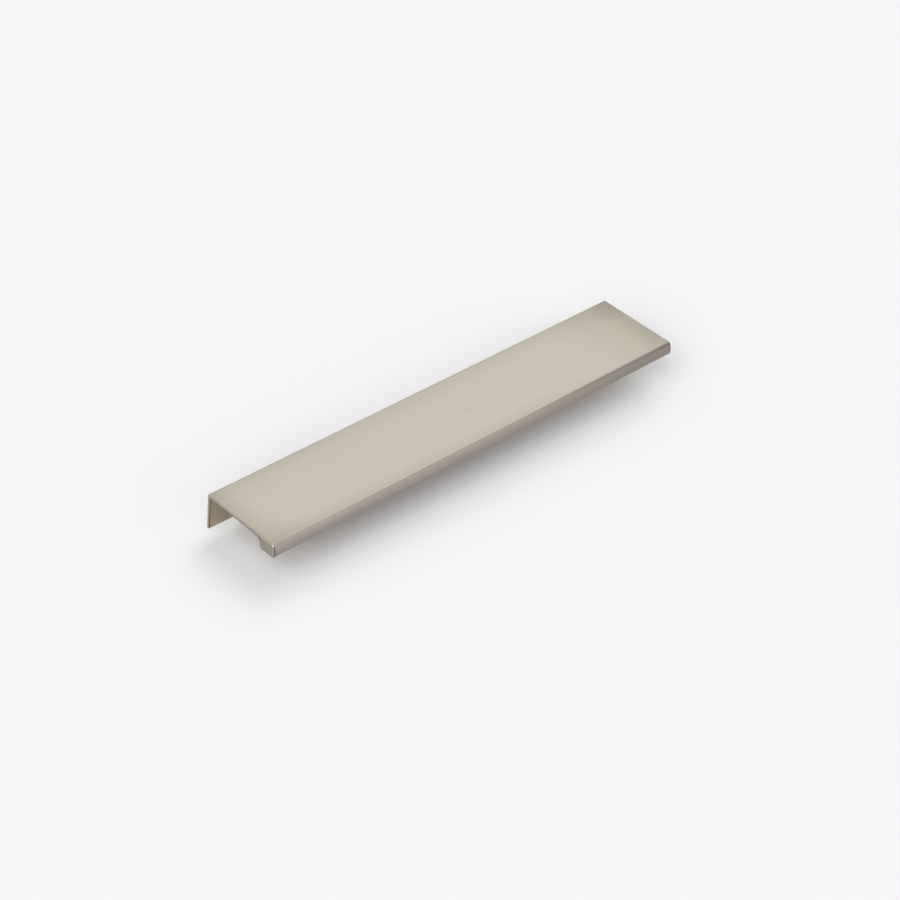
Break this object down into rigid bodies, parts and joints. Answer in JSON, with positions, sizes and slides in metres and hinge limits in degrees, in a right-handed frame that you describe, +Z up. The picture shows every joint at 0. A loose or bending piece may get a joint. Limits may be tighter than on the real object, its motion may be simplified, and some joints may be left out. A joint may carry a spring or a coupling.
{
  "type": "tab pull",
  "caption": "Tab pull for the top edge of a door or drawer: a flat brushed metal plate with a thin screw leg turned down at the back and a crowned solid lip turned down at the front to grip.",
  "frame": {"origin": "midway between the two screw holes, on the leg's front face, which lies against the back of the door", "axes": "+X along the pull, -Y towards the room and the lip, +Z up out of the plate's top"},
  "size_m": [0.221, 0.04, 0.0165],
  "materials": {
    "brushed_nickel": "satin, brushed, warm nickel colour"
  },
  "bodies": {
    "root": {"tab_pull": "brushed_nickel"}
  },
  "joints": []
}
